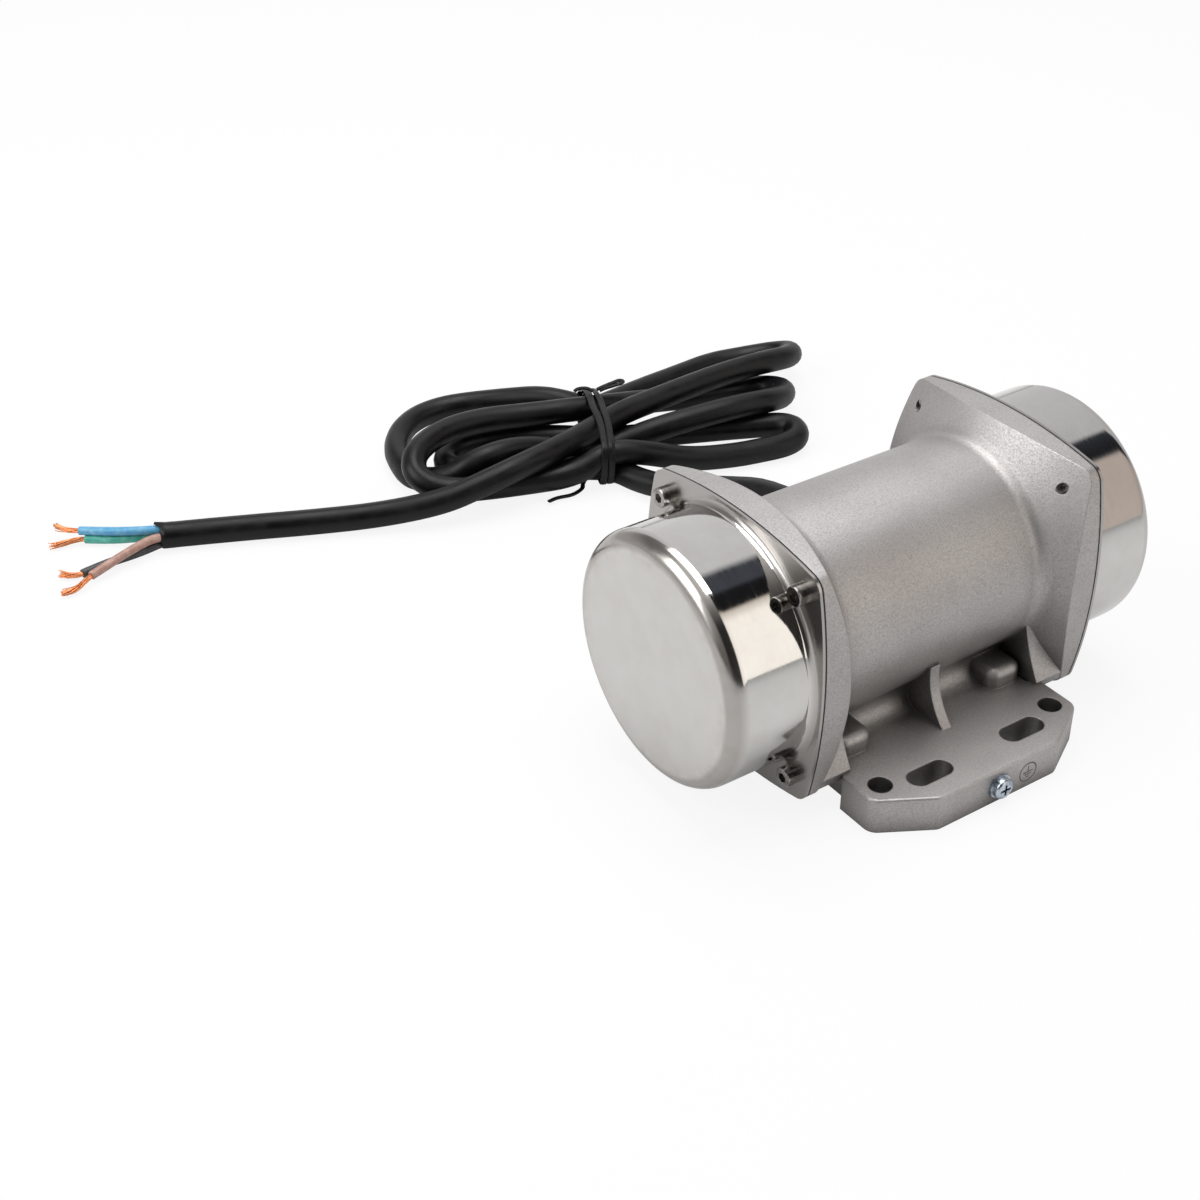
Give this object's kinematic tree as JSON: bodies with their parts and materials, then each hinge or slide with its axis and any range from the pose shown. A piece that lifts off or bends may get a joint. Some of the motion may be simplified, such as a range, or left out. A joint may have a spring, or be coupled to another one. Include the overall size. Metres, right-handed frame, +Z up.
{
  "type": "vibration motor",
  "caption": "Foot-mounted electric vibration motor with eccentric weights under two round stainless end covers and a flexible cable tied in a hank.",
  "frame": {"origin": "on the foot's underside, at the centre of its hole patterns, below the middle of the shaft", "axes": "+X along the shaft towards the rear cover, +Y towards the cable's side, +Z up from the foot to the shaft"},
  "size_m": [0.2789, 0.2696, 0.0774],
  "materials": {
    "cast_aluminium": "shot-blasted aluminium casting, matt grey",
    "stainless_cover": "drawn stainless sheet, satin end face and polished sides",
    "gasket_rubber": "dark cut gasket",
    "screw_steel": "stainless socket cap screws",
    "machined_aluminium": "turned aluminium",
    "zinc_steel": "bright zinc-plated steel",
    "bearing_steel": "ground bearing steel",
    "cage_brass": "pressed brass cage",
    "spring_steel": "oiled dark spring steel",
    "weight_steel": "sawn and machined steel",
    "machined_steel": "ground steel",
    "lamination_steel": "stacked electrical steel sheets",
    "winding_copper": "varnished copper wire",
    "seal_rubber": "black rubber",
    "plated_brass": "nickel-plated brass",
    "cable_rubber": "black rubber cable sheath",
    "tie_plastic": "black plastic-covered twist tie",
    "blue_insulation": "blue core insulation",
    "green_insulation": "green core insulation",
    "brown_insulation": "brown core insulation",
    "black_insulation": "black core insulation",
    "bare_copper": "bare stranded copper",
    "lead_sleeve": "varnished sleeve over the internal leads"
  },
  "bodies": {
    "motor": {"housing": "cast_aluminium", "front_cover": "stainless_cover", "front_gasket": "gasket_rubber", "front_cover_screws": "screw_steel", "front_end_shield": "machined_aluminium", "front_shield_screws": "zinc_steel", "front_bearing_outer_race": "bearing_steel", "front_bearing_balls": "bearing_steel", "front_bearing_cage": "cage_brass", "front_shim_ring": "spring_steel", "rear_cover": "stainless_cover", "rear_gasket": "gasket_rubber", "rear_cover_screws": "screw_steel", "rear_end_shield": "machined_aluminium", "rear_shield_screws": "zinc_steel", "rear_bearing_outer_race": "bearing_steel", "rear_bearing_balls": "bearing_steel", "rear_bearing_cage": "cage_brass", "rear_preload_spring": "spring_steel", "stator_core": "lamination_steel", "stator_windings": "winding_copper", "earth_washer": "zinc_steel", "earth_screw": "zinc_steel", "gland_washer": "seal_rubber", "gland_body": "plated_brass", "gland_nut": "plated_brass", "gland_seal": "seal_rubber", "cable_lead": "cable_rubber", "cable_hank": "cable_rubber", "cable_free_run": "cable_rubber", "cable_tie": "tie_plastic", "core_blue": "blue_insulation", "core_green": "green_insulation", "core_brown": "brown_insulation", "core_black": "black_insulation", "copper_ends": "bare_copper", "internal_leads": "lead_sleeve"},
    "rotor": {"shaft": "machined_steel", "rotor_core": "lamination_steel", "rotor_cage": "machined_aluminium", "front_bearing_inner_race": "bearing_steel", "front_fixed_weight": "weight_steel", "front_weight_key": "spring_steel", "front_spacer": "machined_steel", "front_retaining_ring": "spring_steel", "rear_bearing_inner_race": "bearing_steel", "rear_fixed_weight": "weight_steel", "rear_weight_key": "spring_steel", "rear_spacer": "machined_steel", "rear_retaining_ring": "spring_steel"},
    "front_adjustable": {"front_adjustable_weight": "weight_steel", "front_clamp_screw": "screw_steel"},
    "rear_adjustable": {"rear_adjustable_weight": "weight_steel", "rear_clamp_screw": "screw_steel"}
  },
  "joints": [
    {"name": "rotor_spin", "type": "hinge", "parent": "motor", "child": "rotor", "pos_m": [0, 0, 0.04], "axis": [1, 0, 0], "continuous": true},
    {"name": "front_weight_adjust", "type": "hinge", "parent": "rotor", "child": "front_adjustable", "pos_m": [-0.061, 0, 0.04], "axis": [-1, 0, 0], "range_deg": [0, 180]},
    {"name": "rear_weight_adjust", "type": "hinge", "parent": "rotor", "child": "rear_adjustable", "pos_m": [0.061, 0, 0.04], "axis": [1, 0, 0], "range_deg": [0, 180]}
  ]
}
